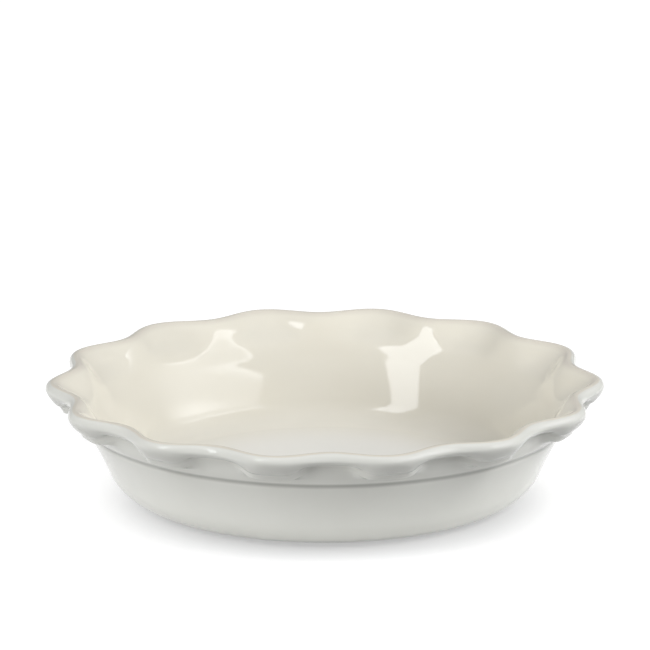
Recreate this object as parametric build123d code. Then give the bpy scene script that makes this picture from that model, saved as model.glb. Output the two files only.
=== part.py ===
from build123d import *
import os
from math import atan2, cos, hypot, pi, radians, sin, sqrt

os.makedirs("parts", exist_ok=True)

# Glazed pie dish with a fluted rim, in millimetres.
# Its axis is Z, and z = 0 is the plane that it stands on.

# Floor and wall, measured on the glazed outside
floor_radius = 85.4
corner_radius = 22.2
wall_slope = radians(23)
wall_flare = 11.9
wall_rise = 23.0
wall_thickness = 6.5

# Rim: the flutes start at the crease, a circle at the top of the wall
lobe_count = 14
lobe_reach = 18.25
valley_reach = 10.25
rim_rise = 18.9
lip_width = 7.0
points_per_lobe = 8

# Glaze coats
glaze_thickness = 0.5
underside_glaze_thickness = 0.4

# Foot: a ring that is wiped bare before firing, round a shallow recess
foot_outset = 2.6
foot_width = 8.0
recess_depth = 1.6
recess_run = 1.2

# Places worked out from the sizes above
crease_radius = floor_radius + corner_radius * cos(wall_slope) + wall_flare
crease_height = corner_radius - corner_radius * sin(wall_slope) + wall_rise
top_slope = 2 * atan2(wall_flare, wall_rise) - wall_slope
inner_corner_radius = corner_radius - wall_thickness
foot_outer_radius = floor_radius + foot_outset
foot_inner_radius = foot_outer_radius - foot_width

# Section of the rim, bottom to top, at a lobe and at a valley.
# Each row holds a share of the reach, a share of the lip's width taken off it, and a share of the rise.
lobe_outer_shares = [
    (0, 0, 0),
    (0.19, 0, 0.22),
    (0.475, 0, 0.29),
    (0.765, 0, 0.425),
    (1, 0.16, 0.645),
    (1, 0, 0.815),
    (1, 0.17, 0.94),
    (1, 0.53, 1),
]
valley_outer_shares = [
    (0, 0, 0),
    (0.25, 0, 0.24),
    (0.35, 0, 0.45),
    (0.455, 0, 0.655),
    (1, 0.37, 0.672),
    (1, 0, 0.805),
    (1, 0.20, 0.95),
    (1, 0.66, 1),
]

# Inside edge of the lip, and the share of the wall's height at which the inside flutes die out
lobe_edge_shares = (1, 1, 0.915)
valley_edge_shares = (1, 1.08, 0.925)
throat_share = 0.8

# Inside flutes between the lip's edge and the throat: shares of the way out and of the way up
lobe_flare_shares = [(0.66, 0.70), (0.26, 0.40)]
valley_flare_shares = [(0.62, 0.70), (0.30, 0.40)]


def rim_point(reach, shares):
    """A point (radius, height) of the rim's section."""
    reach_share, lip_share, rise_share = shares
    radius = crease_radius + reach_share * reach - lip_share * lip_width
    return radius, crease_height + rise_share * rim_rise


def offset_point(point, slope, distance):
    """A point moved square to a wall that leans outwards by slope from upright."""
    radius, height = point
    return radius + distance * cos(slope), height - distance * sin(slope)


def offset_section(points, distance, first, last):
    """The section moved sideways by distance, with its two end points given."""
    moved = [first]
    for before, here, after in zip(points, points[1:], points[2:]):
        along_radius = after[0] - before[0]
        along_height = after[1] - before[1]
        length = hypot(along_radius, along_height)
        radius = here[0] - distance * along_height / length
        height = here[1] + distance * along_radius / length
        moved.append((radius, height))
    moved.append(last)
    return moved


def corner_point(radius):
    """Where a corner arc of this radius runs into the wall."""
    return floor_radius + radius * cos(wall_slope), corner_radius - radius * sin(wall_slope)


def throat_point(depth):
    """Where the inside wall ends and the inside flutes start, this deep under the glaze."""
    low = corner_point(inner_corner_radius)
    high = offset_point((crease_radius, crease_height), top_slope, -wall_thickness)
    radius = low[0] + throat_share * (high[0] - low[0])
    height = low[1] + throat_share * (high[1] - low[1])
    return offset_point((radius, height), top_slope, depth)


def outer_section(reach, shares, depth):
    """Outside of the rim from the crease up to the crest, this deep under the glaze."""
    points = [rim_point(reach, row) for row in shares]
    crease = (points[0][0] - depth, points[0][1])
    crest = (points[-1][0], points[-1][1] - depth)
    return offset_section(points, depth, crease, crest)


def inner_section(reach, crest_shares, edge_shares, flare_shares, depth):
    """Inside of the rim from the crest down to the throat."""
    crest = rim_point(reach, crest_shares)
    edge = rim_point(reach, edge_shares)
    throat = throat_point(0)
    points = [crest, edge]
    for out_share, up_share in flare_shares:
        radius = throat[0] + out_share * (edge[0] - throat[0])
        height = throat[1] + up_share * (edge[1] - throat[1])
        points.append((radius, height))
    points.append(throat)
    return offset_section(points, depth, (crest[0], crest[1] - depth), throat_point(depth))


def wave_ring(lobe, valley):
    """A closed curve that swings between a lobe's point and a valley's point."""
    count = lobe_count * points_per_lobe
    points = []
    for index in range(count):
        angle = 2 * pi * index / count
        swing = (1 + cos(lobe_count * angle)) / 2
        radius = valley[0] + swing * (lobe[0] - valley[0])
        height = valley[1] + swing * (lobe[1] - valley[1])
        points.append((radius * cos(angle), radius * sin(angle), height))
    steps = [index / count for index in range(count + 1)]
    return Wire([Edge.make_spline(points, periodic=True, parameters=steps)])


def circle_ring(point):
    """A plain circle at a point (radius, height) of the section."""
    return Wire([Edge.make_circle(point[0], Plane.XY.offset(point[1]))])


def ring(lobe, valley):
    """A circle where lobe and valley are one point, or else a wavy curve."""
    return circle_ring(lobe) if lobe == valley else wave_ring(lobe, valley)


def fluted_skin(lobe_section, valley_section, rows=None):
    """Faces stretched through the rings of one side of the rim: through all its rows, or only those given."""
    rings = [ring(lobe, valley) for lobe, valley in zip(lobe_section, valley_section)]
    kept = [rings[row] for row in rows] if rows else rings
    return Shell.make_loft(kept, ruled=True).faces()


def in_section(point):
    """A section point (radius, height) as a point in space."""
    return Vector(point[0], 0, point[1])


def line(start, end):
    return Edge.make_line(in_section(start), in_section(end))


def arc(start, direction, end):
    return Edge.make_tangent_arc(in_section(start), in_section(direction), in_section(end))


def revolved_skin(edges):
    """Faces swept round the axis by edges of the section."""
    return [Face.revolve(edge, 360, Axis.Z) for edge in edges]


def outer_rim(depth, rows=None):
    lobe = outer_section(lobe_reach, lobe_outer_shares, depth)
    valley = outer_section(valley_reach, valley_outer_shares, depth)
    return fluted_skin(lobe, valley, rows)


def inner_rim(depth, rows=None):
    lobe = inner_section(
        lobe_reach, lobe_outer_shares[-1], lobe_edge_shares, lobe_flare_shares, depth
    )
    valley = inner_section(
        valley_reach, valley_outer_shares[-1], valley_edge_shares, valley_flare_shares, depth
    )
    return fluted_skin(lobe, valley, rows)


def crest_strip():
    """The upright strip at the crest where the two glaze coats meet."""
    lobe = rim_point(lobe_reach, lobe_outer_shares[-1])
    valley = rim_point(valley_reach, valley_outer_shares[-1])
    low_lobe = (lobe[0], lobe[1] - glaze_thickness)
    low_valley = (valley[0], valley[1] - glaze_thickness)
    return fluted_skin([lobe, low_lobe], [valley, low_valley])


def outer_foot_point(depth):
    """Where the outside corner ends, at the side of the foot ring."""
    radius = corner_radius - depth
    return foot_outer_radius, corner_radius - sqrt(radius**2 - foot_outset**2)


def outer_wall(depth):
    """Outside of the dish from the crease down to the foot ring."""
    tangent_point = corner_point(corner_radius - depth)
    rising = (sin(wall_slope), cos(wall_slope))
    falling = (-rising[0], -rising[1])
    crease = (crease_radius - depth, crease_height)
    wall = arc(tangent_point, rising, crease)
    corner = arc(tangent_point, falling, outer_foot_point(depth))
    return revolved_skin([wall, corner])


def inner_wall(depth):
    """Inside of the dish from the throat down to the middle of the floor."""
    radius = inner_corner_radius + depth
    tangent_point = corner_point(radius)
    rising = (sin(wall_slope), cos(wall_slope))
    falling = (-rising[0], -rising[1])
    floor_edge = (floor_radius, corner_radius - radius)
    wall = arc(tangent_point, rising, throat_point(depth))
    corner = arc(tangent_point, falling, floor_edge)
    floor = line(floor_edge, (0, floor_edge[1]))
    return revolved_skin([wall, corner, floor])


def foot():
    """The bare foot ring and the recess inside it."""
    shoulder = outer_foot_point(glaze_thickness)
    outer_edge = (foot_outer_radius, 0)
    inner_edge = (foot_inner_radius, 0)
    recess_edge = (foot_inner_radius - recess_run, recess_depth)
    corners = [shoulder, outer_edge, inner_edge, recess_edge, (0, recess_depth)]
    return revolved_skin([line(start, end) for start, end in zip(corners, corners[1:])])


def solid_of(faces):
    return Solid(Shell(faces))


def outer_clay():
    """The clay's outside. Its rim is bevelled: it keeps only some rows, and the glaze rounds it off."""
    kept_rows = [0, 1, 3, 5, 7]
    return outer_rim(glaze_thickness, kept_rows) + outer_wall(glaze_thickness)


def inner_clay():
    """The clay's inside, bevelled at the lip in the same way."""
    kept_rows = [0, 2, 3, 4]
    return inner_rim(glaze_thickness, kept_rows) + inner_wall(glaze_thickness)


def stoneware_body():
    """Fired clay: everything under the glaze coats."""
    return solid_of(outer_clay() + inner_clay() + foot())


def exterior_glaze():
    """Coat from the crest over the lip and down the wall to the foot ring."""
    glazed = outer_rim(0) + outer_wall(0)
    low_edge = line(outer_foot_point(0), outer_foot_point(glaze_thickness))
    return solid_of(glazed + outer_clay() + crest_strip() + revolved_skin([low_edge]))


def interior_glaze():
    """Coat from the crest down the inside to the middle of the floor."""
    glazed = inner_rim(0) + inner_wall(0)
    return solid_of(glazed + inner_clay() + crest_strip())


def underside_glaze():
    """Coat on the ceiling of the recess, out to its sloping side."""
    low = recess_depth - underside_glaze_thickness
    top_radius = foot_inner_radius - recess_run
    low_radius = foot_inner_radius - recess_run * low / recess_depth
    corners = [(0, low), (low_radius, low), (top_radius, recess_depth), (0, recess_depth)]
    return solid_of(revolved_skin([line(start, end) for start, end in zip(corners, corners[1:])]))


pieces = {
    "stoneware_body": stoneware_body(),
    "exterior_glaze": exterior_glaze(),
    "interior_glaze": interior_glaze(),
    "underside_glaze": underside_glaze(),
}

for name, piece in pieces.items():
    export_step(piece, "parts/" + name + ".step")
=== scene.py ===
from math import asin, atan2, cos, degrees, exp, hypot, pi, radians, sin

import bmesh
import bpy
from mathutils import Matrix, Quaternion, Vector
from mathutils.geometry import interpolate_bezier


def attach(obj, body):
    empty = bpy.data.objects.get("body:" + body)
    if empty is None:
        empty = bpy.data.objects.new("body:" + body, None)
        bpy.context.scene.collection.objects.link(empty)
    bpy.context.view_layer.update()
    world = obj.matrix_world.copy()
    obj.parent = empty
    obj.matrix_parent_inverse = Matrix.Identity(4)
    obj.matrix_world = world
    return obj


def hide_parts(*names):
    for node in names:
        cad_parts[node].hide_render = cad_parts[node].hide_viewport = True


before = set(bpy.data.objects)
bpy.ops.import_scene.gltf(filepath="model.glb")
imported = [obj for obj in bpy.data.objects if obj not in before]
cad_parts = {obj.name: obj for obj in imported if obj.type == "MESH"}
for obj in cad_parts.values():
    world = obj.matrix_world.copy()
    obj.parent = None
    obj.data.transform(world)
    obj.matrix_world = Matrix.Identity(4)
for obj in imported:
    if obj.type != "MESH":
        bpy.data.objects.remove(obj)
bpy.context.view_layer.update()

# Glazed stoneware pie dish with a fluted rim.
#
# A section is a list of (radius, height) points in millimetres above the plane that the dish
# stands on. The dish's axis is Z, and a lobe of its rim points along X. Meshes are in metres.
MM = 0.001

# Floor, corner and wall
FLOOR_RADIUS = 85.4
CORNER_RADIUS = 22.2
WALL_SLOPE = radians(23)
WALL_THICKNESS = 6.5
CREASE = (117.735, 36.526)
THROAT = (109.734, 35.168)
THROAT_SLOPE = radians(31.7)

# Foot ring and the recess inside it
FOOT_OUTER_RADIUS = 88.0
FOOT_INNER_RADIUS = 80.0
FOOT_EDGE = 0.6
RECESS_DEPTH = 1.6
RECESS_RUN = 1.2

# Glaze coats
GLAZE = 0.5
UNDERSIDE_GLAZE = 0.4

# Rows of the rim's section, through the middle of a lobe and of a valley: from the crease up
# the outside to the crest, then over the lip's inner edge and down the flute to the throat
LOBE_RIM = [
    CREASE, (121.20, 40.70), (126.60, 41.75), (130.50, 45.00), (134.05, 48.50), (135.95, 52.30),
    (134.90, 54.45), (132.28, 55.42), (128.99, 53.82), (122.44, 48.22), (114.74, 42.63), THROAT,
]
VALLEY_RIM = [
    CREASE, (120.30, 41.10), (121.60, 45.30), (122.90, 49.05), (126.20, 49.65), (127.98, 51.74),
    (126.59, 54.48), (123.37, 55.42), (120.43, 54.01), (116.50, 48.36), (113.45, 42.70), THROAT,
]
CREST_ROW = 7

# The wave that runs round the rim between the two, and how square it is at each row.
# At 1 it is a plain wave, and above 1 its lobes and valleys are flatter.
LOBE_COUNT = 14
STEPS_PER_LOBE = 28
ROW_SQUARENESS = [1, 1.5, 1.9, 1.9, 1.3, 1, 1, 1, 1, 1.3, 1.5, 1]

# Hollows in the outside, each with its place, depth and width. A bead has a depth below zero.
CREASE_GROOVE = (CREASE, 0.5, 1.8)
CURL_BEAD = ((127.2, 42.1), -0.45, 0.7)
CURL_GROOVE = ((129.7, 44.2), 0.55, 1.4)
NOTCH = ((123.3, 49.2), 0.2, 0.6)
LOBE_HOLLOWS = [CREASE_GROOVE, CURL_BEAD, CURL_GROOVE]
VALLEY_HOLLOWS = [CREASE_GROOVE, NOTCH]


# Sections

def even_shares(count):
    """Shares from 0 up to 1, in this many even steps, without the 1."""
    return [index / count for index in range(count)]


# How far along the run from each row to the next the mesh has its points: closer together at
# the crease and the curl, and with a point right beside the crest, where the two coats meet
FROM_CREASE = [0, 0.04, 0.08, 0.12, 0.17, 0.23, 0.3, 0.38, 0.47, 0.57, 0.67, 0.78, 0.89]
CURL = even_shares(16)
PLAIN = even_shares(8)
TO_CREST = even_shares(10) + [0.99]
FROM_CREST = [0, 0.01] + even_shares(10)[1:]
SHARES = [FROM_CREASE, CURL, CURL, CURL, PLAIN, PLAIN, TO_CREST, FROM_CREST, PLAIN, PLAIN, PLAIN]


def eased_slopes(values, steps):
    """Slopes for a curve through the values that never swings past them."""
    rises = [(b - a) / step for a, b, step in zip(values, values[1:], steps)]
    slopes = [rises[0]]
    for before, after, first, second in zip(rises, rises[1:], steps, steps[1:]):
        if before * after <= 0:
            slopes.append(0.0)
        else:
            near, far = 2 * second + first, second + 2 * first
            slopes.append((near + far) / (near / before + far / after))
    slopes.append(rises[-1])
    return slopes


def rim_runs(rows):
    """The smooth curve through the rows, as one list of close points between each two rows."""
    steps = [hypot(b[0] - a[0], b[1] - a[1]) for a, b in zip(rows, rows[1:])]
    out = eased_slopes([row[0] for row in rows], steps)
    up = eased_slopes([row[1] for row in rows], steps)
    out[-1] = -sin(THROAT_SLOPE)
    up[-1] = -cos(THROAT_SLOPE)
    # One point for each hundredth of a run, so that every share has its own
    points_per_run = 101
    runs = []
    for index, step in enumerate(steps):
        start, end = Vector(rows[index]), Vector(rows[index + 1])
        start_handle = start + Vector((out[index], up[index])) * step / 3
        end_handle = end - Vector((out[index + 1], up[index + 1])) * step / 3
        close = interpolate_bezier(start, start_handle, end_handle, end, points_per_run)
        runs.append([tuple(point) for point in close])
    return runs


def rim_points(rows, first, last):
    """The mesh's points on the runs from one row up to another, without that last row's."""
    runs = rim_runs(rows)
    points = []
    for run, shares in zip(runs[first:last], SHARES[first:last]):
        points += [run[round(share * (len(run) - 1))] for share in shares]
    return points


def arc_points(start, slope, end, count):
    """Points on the arc that leaves start leaning outwards by slope and ends at end."""
    chord = hypot(end[0] - start[0], end[1] - start[1])
    chord_slope = atan2(end[0] - start[0], end[1] - start[1])
    turn = 2 * (chord_slope - slope)
    radius = chord / (2 * sin(turn / 2))
    centre = (start[0] + radius * cos(slope), start[1] - radius * sin(slope))
    points = []
    for index in range(count):
        lean = slope + turn * index / (count - 1)
        points.append((centre[0] - radius * cos(lean), centre[1] + radius * sin(lean)))
    return points


def corner_points(radius, low_angle, count):
    """Points on the rounded corner, from low_angle (from straight down) up to the wall."""
    high_angle = pi / 2 - WALL_SLOPE
    points = []
    for index in range(count):
        angle = low_angle + (high_angle - low_angle) * index / (count - 1)
        points.append((FLOOR_RADIUS + radius * sin(angle), CORNER_RADIUS - radius * cos(angle)))
    return points


def moved_inwards(section, depths):
    """The section with each of its points moved to its right-hand side by that point's depth."""
    moved = []
    for index, (point, depth) in enumerate(zip(section, depths)):
        before = section[max(index - 1, 0)]
        after = section[min(index + 1, len(section) - 1)]
        length = hypot(after[0] - before[0], after[1] - before[1])
        moved.append((
            point[0] - depth * (after[1] - before[1]) / length,
            point[1] + depth * (after[0] - before[0]) / length,
        ))
    return moved


def dip(point, hollows):
    """How deep the hollows are at a point of the section."""
    return sum(
        depth * exp(-((hypot(point[0] - place[0], point[1] - place[1]) / width) ** 2))
        for place, depth, width in hollows
    )


def outside(rim_rows, hollows):
    """The outside from the foot ring up to the crest, for a lobe or a valley."""
    foot_angle = asin((FOOT_OUTER_RADIUS - FLOOR_RADIUS) / CORNER_RADIUS)
    corner = corner_points(CORNER_RADIUS, foot_angle, count=17)
    close = arc_points(corner[-1], WALL_SLOPE, CREASE, count=81)
    # The wall needs only every fourth point up to the crease's groove, and all of them in it
    wall = close[1:65:4] + close[65:-1]
    section = corner + wall + rim_points(rim_rows, 0, CREST_ROW)
    depths = [dip(point, hollows) for point in section]
    return moved_inwards(section, depths) + [rim_rows[CREST_ROW]]


def inside(rim_rows):
    """The inside from the crest down to the middle of the floor, for a lobe or a valley."""
    rim = rim_points(rim_rows, CREST_ROW, len(SHARES))
    corner = corner_points(CORNER_RADIUS - WALL_THICKNESS, 0, count=13)
    wall = arc_points(corner[-1], WALL_SLOPE, THROAT, count=15)
    floor = [(FLOOR_RADIUS * share, corner[0][1]) for share in even_shares(12)]
    return rim + wall[:0:-1] + corner[::-1] + floor[::-1]


def outer_kept(values):
    """The third of the outside's values that the clay's side of its glaze keeps."""
    return values[:-3:3] + values[-1:]


def inner_kept(values):
    """The third of the inside's values that the clay's side of its glaze keeps."""
    return values[:1] + values[3:-3:3] + values[-1:]


def outer_under(section):
    """The clay's side of the outside glaze, from the foot ring up to the crest."""
    under = outer_kept(moved_inwards(section, [GLAZE] * len(section)))
    crest = section[-1]
    return under[:-1] + [(crest[0], crest[1] - GLAZE)]


def inner_under(section):
    """The clay's side of the inside glaze, from the crest to the middle of the floor."""
    under = inner_kept(moved_inwards(section, [GLAZE] * len(section)))
    crest, middle = section[0], section[-1]
    return [(crest[0], crest[1] - GLAZE)] + under[1:-1] + [(0.0, middle[1] - GLAZE)]


def clay_section(outer, inner):
    """The clay: recess, foot ring, up the outside, over the crest and down to the floor."""
    recess_radius = FOOT_INNER_RADIUS - RECESS_RUN
    foot = [
        (0.0, RECESS_DEPTH),
        (recess_radius - FOOT_EDGE, RECESS_DEPTH),
        (recess_radius, RECESS_DEPTH - FOOT_EDGE / 3),
        (FOOT_INNER_RADIUS - FOOT_EDGE / 3, FOOT_EDGE / 2),
        (FOOT_INNER_RADIUS + FOOT_EDGE / 2, 0.0),
        (FOOT_OUTER_RADIUS - FOOT_EDGE, 0.0),
        (FOOT_OUTER_RADIUS - FOOT_EDGE / 4, FOOT_EDGE / 10),
    ]
    return foot + outer_under(outer) + inner_under(inner)[1:]


def recess_section():
    """The glaze on the recess's ceiling, with a round edge that ends in the clay's corner."""
    low = RECESS_DEPTH - UNDERSIDE_GLAZE
    low_radius = FOOT_INNER_RADIUS - RECESS_RUN * low / RECESS_DEPTH
    round_from, round_to, drawn_in = 1.2, 0.5, 0.08
    tip_inset, tip_depth, ceiling_gap = 0.1, 0.05, 0.02
    return [
        (0.0, low),
        (low_radius - round_from, low),
        (low_radius - round_to, low + drawn_in),
        (FOOT_INNER_RADIUS - RECESS_RUN - tip_inset, RECESS_DEPTH - tip_depth),
        (0.0, RECESS_DEPTH - ceiling_gap),
    ]


def squareness_of(first, last):
    """The wave's squareness at the points that rim_points gives for the same two rows."""
    values = []
    for row in range(first, last):
        low, high = ROW_SQUARENESS[row], ROW_SQUARENESS[row + 1]
        for share in SHARES[row]:
            eased = share * share * (3 - 2 * share)
            values.append(low + (high - low) * eased)
    return values


def runs_from(section, origin):
    """How far each point of the section is from one of its points, along the section."""
    lengths = [0.0]
    for before, after in zip(section, section[1:]):
        lengths.append(lengths[-1] + hypot(after[0] - before[0], after[1] - before[1]))
    return [abs(length - lengths[origin]) for length in lengths]


# Meshes

def in_space(point):
    """A point of a section, in metres."""
    return point[0] * MM, 0, point[1] * MM


def spun_piece(name, lobe, valley, material, squareness=None, marks=None):
    """A closed piece: the section spun round the axis, waved between its lobe and valley forms.

    A section that starts off the axis is closed into a loop, and any other ends on the axis.
    squareness holds the wave's squareness at each point of the section, 1 where it isn't given.
    marks holds an attribute's name and its value at each point, for the material.
    """
    squareness = squareness or [1.0] * len(lobe)
    marks = marks or {}
    maker = bmesh.new()
    mark_layers = {mark: maker.verts.layers.float.new(mark) for mark in marks}
    lobe_layer = maker.verts.layers.float_vector.new("lobe")
    valley_layer = maker.verts.layers.float_vector.new("valley")
    squareness_layer = maker.verts.layers.float.new("squareness")
    corners = []
    for index, (lobe_point, valley_point) in enumerate(zip(lobe, valley)):
        corner = maker.verts.new(in_space(lobe_point))
        corner[lobe_layer] = in_space(lobe_point)
        corner[valley_layer] = in_space(valley_point)
        corner[squareness_layer] = squareness[index]
        for mark, layer in mark_layers.items():
            corner[layer] = marks[mark][index]
        corners.append(corner)
    edges = [maker.edges.new(pair) for pair in zip(corners, corners[1:])]
    starts_off_axis = lobe[0][0] > 0
    if starts_off_axis:
        edges.append(maker.edges.new((corners[-1], corners[0])))
    bmesh.ops.spin(
        maker, geom=corners + edges, cent=(0, 0, 0), axis=(0, 0, 1), angle=2 * pi,
        steps=LOBE_COUNT * STEPS_PER_LOBE, use_merge=True, use_duplicate=False,
    )
    # The spin leaves a copy of a point on the axis at each step, and these become one
    nearly_none = 1e-7
    on_axis = [vert for vert in maker.verts if hypot(vert.co.x, vert.co.y) < nearly_none]
    bmesh.ops.remove_doubles(maker, verts=on_axis, dist=10 * nearly_none)
    for vert in maker.verts:
        angle = atan2(vert.co.y, vert.co.x)
        towards_lobe = min(cos(LOBE_COUNT * angle / 2) ** 2, 1)
        rise = towards_lobe ** vert[squareness_layer]
        fall = (1 - towards_lobe) ** vert[squareness_layer]
        place = vert[valley_layer].lerp(vert[lobe_layer], rise / (rise + fall))
        vert.co = (place.x * cos(angle), place.x * sin(angle), place.z)
    bmesh.ops.recalc_face_normals(maker, faces=maker.faces)
    for face in maker.faces:
        face.smooth = True
    sharpest_smooth_edge = radians(65)
    for edge in maker.edges:
        edge.smooth = edge.calc_face_angle(0) < sharpest_smooth_edge
    mesh = bpy.data.meshes.new(name)
    maker.to_mesh(mesh)
    maker.free()
    for layer in ("lobe", "valley", "squareness"):
        mesh.attributes.remove(mesh.attributes[layer])
    piece = bpy.data.objects.new(name, mesh)
    bpy.context.scene.collection.objects.link(piece)
    mesh.materials.append(material)
    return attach(piece, "root")


# Materials

# Sockets of a Mix node that mixes colours. They go by number, because its names repeat.
FACTOR, FIRST, SECOND, MIXED = 0, 6, 7, 2


def linear(code):
    """An sRGB hex colour as linear red, green and blue, with alpha."""
    shares = [int(code[start:start + 2], 16) / 255 for start in (1, 3, 5)]
    parts = [
        share / 12.92 if share <= 0.04045 else ((share + 0.055) / 1.055) ** 2.4
        for share in shares
    ]
    return parts + [1.0]


def add(tree, kind, feeds, **settings):
    """Adds a node with its settings.

    feeds holds each input's value, or the output that is linked to it.
    """
    made = tree.nodes.new(kind)
    for name, value in settings.items():
        setattr(made, name, value)
    for place, value in feeds.items():
        if isinstance(value, bpy.types.NodeSocket):
            tree.links.new(value, made.inputs[place])
        else:
            made.inputs[place].default_value = value
    return made


def new_material(name):
    """An empty material, and its node tree."""
    material = bpy.data.materials.new(name)
    material.use_nodes = True
    material.node_tree.nodes.clear()
    return material, material.node_tree


def scale_for(size):
    """A noise's scale, from the real distance between its blots in millimetres."""
    return 1000 / size


def gloss_glaze(name, colour_of, roughness):
    """Glassy stoneware glaze, smooth as it melted; colour_of adds the nodes of its colour.

    What shows the eye that it is glaze is its reflections, sharp but never quite straight. They
    sway where it flowed before it set, 0.25 mm deep and 31 mm apart. Its orange peel is 0.015 mm
    deep and drawn 4.5 mm apart, because the real 1 to 2 mm is too fine to show in the render.
    """
    material, tree = new_material(name)
    place = add(tree, "ShaderNodeTexCoord", {}).outputs["Object"]
    colour = colour_of(tree, place)
    flow = add(
        tree, "ShaderNodeTexNoise", {"Vector": place, "Scale": scale_for(31.25), "Detail": 0.0},
    )
    swaying = add(
        tree, "ShaderNodeBump",
        {"Height": flow.outputs[0], "Strength": 1.0, "Distance": 0.25 * MM},
    )
    peel = add(
        tree, "ShaderNodeTexNoise", {"Vector": place, "Scale": scale_for(4.545), "Detail": 1.0},
    )
    peeled = add(
        tree, "ShaderNodeBump",
        {
            "Height": peel.outputs[0], "Strength": 1.0, "Distance": 0.015 * MM,
            "Normal": swaying.outputs[0],
        },
    )
    shader = add(
        tree, "ShaderNodeBsdfPrincipled",
        {"Base Color": colour, "Roughness": roughness, "IOR": 1.5, "Normal": peeled.outputs[0]},
    )
    add(tree, "ShaderNodeOutputMaterial", {"Surface": shader.outputs[0]})
    return material


def cream_colour(tree, place):
    """The colour of the inside's glaze, which was poured in and swilled round.

    It gives the eye a warm cream that is faintly cloudy every 36 mm, paler and cooler on the
    floor as a painted sheen, and browner within 5 mm of the crest, where it runs thin over the
    clay.
    """
    cloud = add(
        tree, "ShaderNodeTexNoise", {"Vector": place, "Scale": scale_for(35.71), "Detail": 3.0},
    )
    wall = add(
        tree, "ShaderNodeMix",
        {FACTOR: cloud.outputs[0], FIRST: linear("#e5e1d5"), SECOND: linear("#e2ddcf")},
        data_type="RGBA",
    )
    level = add(tree, "ShaderNodeVectorMath", {0: place, 1: (1, 1, 0)}, operation="MULTIPLY")
    radius = add(tree, "ShaderNodeVectorMath", {0: level.outputs[0]}, operation="LENGTH")
    # Painted sheen: the cream is paler and cooler on the upturned floor, for the white it reflects
    off_floor = add(
        tree, "ShaderNodeMapRange",
        {"Value": radius.outputs["Value"], "From Min": 55 * MM, "From Max": 104 * MM},
        interpolation_type="SMOOTHSTEP",
    )
    floor_sheen = add(
        tree, "ShaderNodeMix",
        {FACTOR: off_floor.outputs[0], FIRST: linear("#e9e8e4"), SECOND: wall.outputs[MIXED]},
        data_type="RGBA",
    )
    crest_run = add(tree, "ShaderNodeAttribute", {}, attribute_name="crest_run")
    off_crest = add(
        tree, "ShaderNodeMapRange",
        {"Value": crest_run.outputs["Fac"], "From Min": 1.0, "From Max": 5.0},
        interpolation_type="SMOOTHSTEP",
    )
    colour = add(
        tree, "ShaderNodeMix",
        {FACTOR: off_crest.outputs[0], FIRST: linear("#dbd5c9"), SECOND: floor_sheen.outputs[MIXED]},
        data_type="RGBA",
    )
    return colour.outputs[MIXED]


def off_white_colour(tree, place):
    """The colour of the outside's glaze, which was sprayed on.

    It gives the eye a cooler white, cloudy like the cream. The crest shows through it as a
    beige line about 2 mm wide, which wanders every 17 mm. Within 2.4 mm of the crease it is
    greyer: painted shade in the crease.
    """
    cloud = add(
        tree, "ShaderNodeTexNoise", {"Vector": place, "Scale": scale_for(35.71), "Detail": 3.0},
    )
    wall = add(
        tree, "ShaderNodeMix",
        {FACTOR: cloud.outputs[0], FIRST: linear("#e0e0da"), SECOND: linear("#dbdbd4")},
        data_type="RGBA",
    )
    wander = add(
        tree, "ShaderNodeTexNoise", {"Vector": place, "Scale": scale_for(16.67), "Detail": 1.0},
    )
    crest_run = add(tree, "ShaderNodeAttribute", {}, attribute_name="crest_run")
    wandering_run = add(
        tree, "ShaderNodeMath",
        {0: wander.outputs[0], 1: 1.2, 2: crest_run.outputs["Fac"]}, operation="MULTIPLY_ADD",
    )
    off_crest = add(
        tree, "ShaderNodeMapRange",
        {"Value": wandering_run.outputs[0], "From Min": 1.6, "From Max": 2.6},
        interpolation_type="SMOOTHSTEP",
    )
    thin = add(
        tree, "ShaderNodeMix",
        {FACTOR: off_crest.outputs[0], FIRST: linear("#d9d3c6"), SECOND: wall.outputs[MIXED]},
        data_type="RGBA",
    )
    # Painted shade: the glaze turns grey within 2.4 mm of the crease, where the crease is in shade
    crease_shade_run = add(tree, "ShaderNodeAttribute", {}, attribute_name="crease_shade_run")
    off_crease_shade = add(
        tree, "ShaderNodeMapRange",
        {"Value": crease_shade_run.outputs["Fac"], "From Min": 0.0, "From Max": 2.4},
        interpolation_type="SMOOTHSTEP",
    )
    colour = add(
        tree, "ShaderNodeMix",
        {FACTOR: off_crease_shade.outputs[0], FIRST: linear("#b0b0aa"), SECOND: thin.outputs[MIXED]},
        data_type="RGBA",
    )
    return colour.outputs[MIXED]


def fired_clay():
    """Bare stoneware, wiped clean of glaze with a sponge and fired.

    It gives the eye a dull buff with darker sand in it. The sand's grains are under half a
    millimetre, and are drawn 1.1 mm apart, because finer ones don't show in the render.
    """
    material, tree = new_material("bare_fired_stoneware")
    place = add(tree, "ShaderNodeTexCoord", {}).outputs["Object"]
    grain = add(
        tree, "ShaderNodeTexNoise", {"Vector": place, "Scale": scale_for(1.111), "Detail": 3.0},
    )
    colour = add(
        tree, "ShaderNodeMix",
        {FACTOR: grain.outputs[0], FIRST: linear("#d8ccb6"), SECOND: linear("#bfb097")},
        data_type="RGBA",
    )
    bump = add(
        tree, "ShaderNodeBump",
        {"Height": grain.outputs[0], "Strength": 0.6, "Distance": 0.2 * MM},
    )
    shader = add(
        tree, "ShaderNodeBsdfPrincipled",
        {"Base Color": colour.outputs[MIXED], "Roughness": 0.85, "Normal": bump.outputs[0]},
    )
    add(tree, "ShaderNodeOutputMaterial", {"Surface": shader.outputs[0]})
    return material


# Pieces

cream = gloss_glaze("cream_gloss_glaze", cream_colour, 0.07)
off_white = gloss_glaze("off_white_gloss_glaze", off_white_colour, 0.06)
clay = fired_clay()

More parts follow.
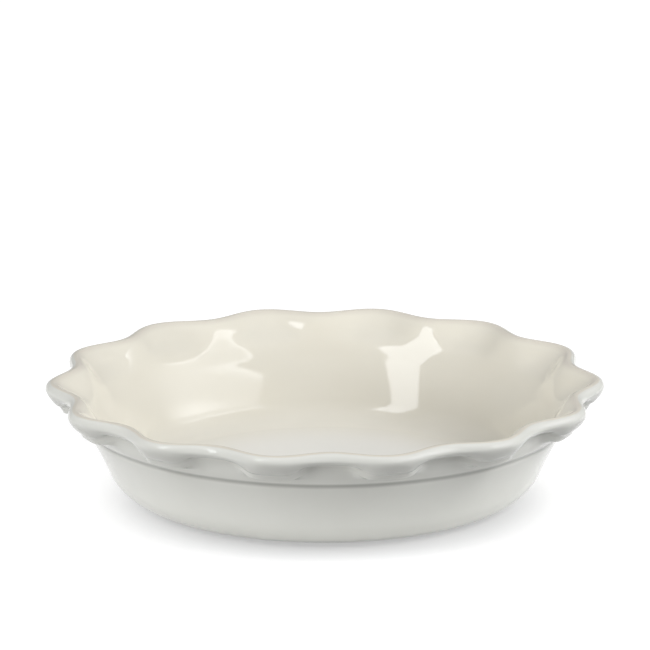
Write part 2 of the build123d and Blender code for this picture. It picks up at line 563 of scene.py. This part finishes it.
outer_lobe = outside(LOBE_RIM, LOBE_HOLLOWS)
outer_valley = outside(VALLEY_RIM, VALLEY_HOLLOWS)
outer_rim_squareness = squareness_of(0, CREST_ROW) + [1.0]
crease_index = len(outer_lobe) - len(outer_rim_squareness)
outer_squareness = [1.0] * crease_index + outer_rim_squareness

inner_lobe = inside(LOBE_RIM)
inner_valley = inside(VALLEY_RIM)
inner_rim_squareness = squareness_of(CREST_ROW, len(SHARES))
below_throat = len(inner_lobe) - len(inner_rim_squareness)
inner_squareness = inner_rim_squareness + [1.0] * below_throat

# Points on the clay's side of a coat are marked as out of the patterns' reach
FAR = 99.0

lobe_under, valley_under = outer_under(outer_lobe), outer_under(outer_valley)
unmarked = [FAR] * len(lobe_under)
exterior = spun_piece(
    "exterior_glaze_coat", outer_lobe + lobe_under[::-1], outer_valley + valley_under[::-1],
    off_white, outer_squareness + outer_kept(outer_squareness)[::-1],
    {
        "crest_run": runs_from(outer_lobe, -1) + unmarked,
        "crease_shade_run": runs_from(outer_lobe, crease_index) + unmarked,
    },
)
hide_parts("exterior_glaze")

lobe_under, valley_under = inner_under(inner_lobe), inner_under(inner_valley)
unmarked = [FAR] * len(lobe_under)
interior = spun_piece(
    "interior_glaze_coat", lobe_under[::-1] + inner_lobe, valley_under[::-1] + inner_valley,
    cream, inner_kept(inner_squareness)[::-1] + inner_squareness,
    {"crest_run": unmarked + runs_from(inner_lobe, 0)},
)
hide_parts("interior_glaze")

clay_lobe = clay_section(outer_lobe, inner_lobe)
clay_valley = clay_section(outer_valley, inner_valley)
clay_squareness = outer_kept(outer_squareness) + inner_kept(inner_squareness)[1:]
clay_squareness = [1.0] * (len(clay_lobe) - len(clay_squareness)) + clay_squareness
body = spun_piece("fired_clay_body", clay_lobe, clay_valley, clay, clay_squareness)
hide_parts("stoneware_body")

recess_coat = recess_section()
unmarked = [FAR] * len(recess_coat)
recess = spun_piece(
    "recess_glaze_coat", recess_coat, recess_coat, off_white,
    marks={"crest_run": unmarked, "crease_shade_run": unmarked},
)
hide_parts("underside_glaze")


# Floor, light and camera, in metres and degrees. Azimuths turn from +X towards +Y.

CAMERA_AZIMUTH = -91.245
CAMERA_ELEVATION = 16.06
CAMERA_DISTANCE = 4.071
CAMERA_TARGET = Vector((0, 0, 0.0505))
LIGHT_TARGET = Vector((0, 0, 0.03))

# The picture is this many pixels wide and high, and the camera's target is on this row of it
PICTURE_SIZE = 650
TARGET_ROW = 389.9


def towards(azimuth, elevation):
    """The direction from the dish towards something this far round and this far up."""
    side, rise = radians(azimuth), radians(elevation)
    return Vector((cos(rise) * cos(side), cos(rise) * sin(side), sin(rise)))


def studio_paper():
    """White paper, which the camera and the glaze's reflections see nearly white.

    Most of the light that it throws up on the dish comes from within about 15 cm of the dish's
    middle, so that the wall is shaded towards its foot and under the flutes.
    """
    material, tree = new_material("white_studio_floor")
    path = add(tree, "ShaderNodeLightPath", {})
    mirrored = add(
        tree, "ShaderNodeMath",
        {0: path.outputs["Is Glossy Ray"], 1: path.outputs["Is Transmission Ray"]},
        operation="MAXIMUM",
    )
    seen = add(
        tree, "ShaderNodeMath",
        {0: path.outputs["Is Camera Ray"], 1: mirrored.outputs[0]}, operation="MAXIMUM",
    )
    place = add(tree, "ShaderNodeTexCoord", {}).outputs["Object"]

    # What lights the dish: pale paper round it, and darker paper further out
    away = add(tree, "ShaderNodeVectorMath", {0: place}, operation="LENGTH")
    far_out = add(
        tree, "ShaderNodeMapRange",
        {"Value": away.outputs["Value"], "From Min": 0.135, "From Max": 0.175},
        interpolation_type="SMOOTHSTEP",
    )
    bounce = add(
        tree, "ShaderNodeMix",
        {FACTOR: far_out.outputs[0], FIRST: linear("#e6e6e6"), SECOND: linear("#5c5c5c")},
        data_type="RGBA",
    )
    unseen_paper = add(tree, "ShaderNodeBsdfDiffuse", {"Color": bounce.outputs[MIXED]})

    # What is seen: paper that takes the dish's cast shadow, and a glow that brings it to white
    # further out. The glow is weaker near a point just in front of the middle: a painted shadow.
    shaded_paper = add(tree, "ShaderNodeBsdfDiffuse", {"Color": linear("#9c9c9c")})
    # Painted shadow: less glow within 8 to 12 cm of this point, which deepens the cast shadow
    shadow_middle = (0.003, -0.014, 0)
    from_shadow = add(
        tree, "ShaderNodeVectorMath", {0: place, 1: shadow_middle}, operation="DISTANCE",
    )
    past_shadow = add(
        tree, "ShaderNodeMapRange",
        {"Value": from_shadow.outputs["Value"], "From Min": 0.08, "From Max": 0.122},
        interpolation_type="SMOOTHSTEP",
    )
    least_glow, more_glow = 0.42, 0.38
    strength = add(
        tree, "ShaderNodeMath",
        {0: past_shadow.outputs[0], 1: more_glow, 2: least_glow}, operation="MULTIPLY_ADD",
    )
    glow = add(
        tree, "ShaderNodeEmission",
        {"Color": linear("#ffffff"), "Strength": strength.outputs[0]},
    )
    seen_paper = add(
        tree, "ShaderNodeAddShader", {0: shaded_paper.outputs[0], 1: glow.outputs[0]},
    )
    either = add(
        tree, "ShaderNodeMixShader",
        {0: seen.outputs[0], 1: unseen_paper.outputs[0], 2: seen_paper.outputs[0]},
    )
    add(tree, "ShaderNodeOutputMaterial", {"Surface": either.outputs[0]})
    return material


def studio():
    """The floor that the dish stands on, 12 m square, and the soft light from all round."""
    scene = bpy.context.scene
    maker = bmesh.new()
    bmesh.ops.create_grid(maker, x_segments=1, y_segments=1, size=6)
    mesh = bpy.data.meshes.new("studio_floor")
    maker.to_mesh(mesh)
    maker.free()
    floor = bpy.data.objects.new("studio_floor", mesh)
    scene.collection.objects.link(floor)
    mesh.materials.append(studio_paper())

    world = bpy.data.worlds.new("studio_world")
    scene.world = world
    world.use_nodes = True
    tree = world.node_tree
    tree.nodes.clear()
    soft = add(tree, "ShaderNodeBackground", {"Color": linear("#ffffff"), "Strength": 0.34})
    add(tree, "ShaderNodeOutputWorld", {"Surface": soft.outputs[0]})


def shade_panel(lamp, middle_share):
    """Gives the panel middle_share of its strength half-way up, and lets it fade to its far end.

    The glaze shows it so: a bright bar at its top and one at its bottom, with grey between.
    """
    lamp.use_nodes = True
    tree = lamp.node_tree
    tree.nodes.clear()
    place = add(tree, "ShaderNodeNewGeometry", {}).outputs["Parametric"]
    split = add(tree, "ShaderNodeSeparateXYZ", {"Vector": place})
    middle_height = 0.58
    above = add(
        tree, "ShaderNodeMath", {0: split.outputs["Y"], 1: middle_height}, operation="SUBTRACT",
    )
    off_middle = add(tree, "ShaderNodeMath", {0: above.outputs[0]}, operation="ABSOLUTE")
    bars = add(
        tree, "ShaderNodeMapRange",
        {
            "Value": off_middle.outputs[0], "From Min": 0.2, "From Max": 0.42,
            "To Min": middle_share, "To Max": 1.0,
        },
    )
    near_end = add(
        tree, "ShaderNodeMapRange",
        {"Value": split.outputs["X"], "From Min": 0.0, "From Max": 0.05},
        interpolation_type="SMOOTHSTEP",
    )
    far_end = add(
        tree, "ShaderNodeMapRange",
        {"Value": split.outputs["X"], "From Min": 1.0, "From Max": 0.55},
        interpolation_type="SMOOTHSTEP",
    )
    along = add(
        tree, "ShaderNodeMath", {0: near_end.outputs[0], 1: far_end.outputs[0]},
        operation="MULTIPLY",
    )
    strength = add(
        tree, "ShaderNodeMath", {0: bars.outputs[0], 1: along.outputs[0]}, operation="MULTIPLY",
    )
    shine = add(tree, "ShaderNodeEmission", {"Strength": strength.outputs[0]})
    add(tree, "ShaderNodeOutputLight", {"Surface": shine.outputs[0]})


def softbox(name, azimuth, elevation, distance, width, height, radiance, roll=0, shiny=True):
    """A rectangular soft light that faces the dish; azimuth 0 is the camera's own.

    radiance is how bright its surface is, whatever its size. One that isn't shiny lights the
    dish but is never seen in its glaze, and the others are a faint daylight blue.
    """
    lamp = bpy.data.lights.new(name, "AREA")
    lamp.shape = "RECTANGLE"
    lamp.size = width
    lamp.size_y = height
    lamp.energy = radiance * pi * width * height
    if shiny:
        lamp.color = linear("#fafcff")[:3]
    holder = bpy.data.objects.new(name, lamp)
    bpy.context.scene.collection.objects.link(holder)
    direction = towards(CAMERA_AZIMUTH + azimuth, elevation)
    holder.location = direction * distance + LIGHT_TARGET
    holder.visible_glossy = shiny
    upright = direction.to_track_quat("Z", "Y")
    holder.rotation_euler = (upright @ Quaternion((0, 0, 1), radians(roll))).to_euler()
    return lamp


def camera():
    """Seen from the front and a little above, through a long lens."""
    scene = bpy.context.scene
    scene.view_settings.view_transform = "Standard"
    lens = bpy.data.cameras.new("front_camera")
    lens.sensor_width = 36
    lens.lens = 463.35
    lens.clip_end = 50
    holder = bpy.data.objects.new("front_camera", lens)
    scene.collection.objects.link(holder)
    direction = towards(CAMERA_AZIMUTH, CAMERA_ELEVATION)
    holder.location = CAMERA_TARGET + direction * CAMERA_DISTANCE
    focal_pixels = lens.lens / lens.sensor_width * PICTURE_SIZE
    below_middle = degrees(atan2(TARGET_ROW - PICTURE_SIZE / 2, focal_pixels))
    backwards = towards(CAMERA_AZIMUTH, CAMERA_ELEVATION - below_middle)
    holder.rotation_euler = backwards.to_track_quat("Z", "Y").to_euler()
    scene.camera = holder


studio()

# The two that the glaze shows: a window to the left, and a long panel to the right
softbox(
    "window", azimuth=-50, elevation=41.5, distance=1.7, width=0.43, height=0.95, radiance=5.2,
)
right_panel = softbox(
    "right_panel", azimuth=77, elevation=30, distance=1.8, width=2.3, height=0.74, radiance=5.0,
    roll=-12,
)
shade_panel(right_panel, middle_share=0.36)

# Light for the inside, from above the rim
softbox(
    "left_fill", azimuth=-75, elevation=32, distance=1.8, width=0.9, height=0.6, radiance=1.8,
    shiny=False,
)
softbox(
    "right_fill", azimuth=75, elevation=40, distance=1.8, width=0.9, height=0.6, radiance=6.5,
    shiny=False,
)

# Light for the outside, from so low that the rim keeps it off the inside
softbox(
    "left_low", azimuth=-51, elevation=5, distance=1.8, width=0.9, height=0.3, radiance=13.8,
    shiny=False,
)
softbox(
    "right_low", azimuth=84, elevation=5, distance=1.8, width=0.9, height=0.3, radiance=4.8,
    shiny=False,
)
softbox(
    "back_low", azimuth=180, elevation=8, distance=1.8, width=1.6, height=0.3, radiance=6.0,
    shiny=False,
)

camera()
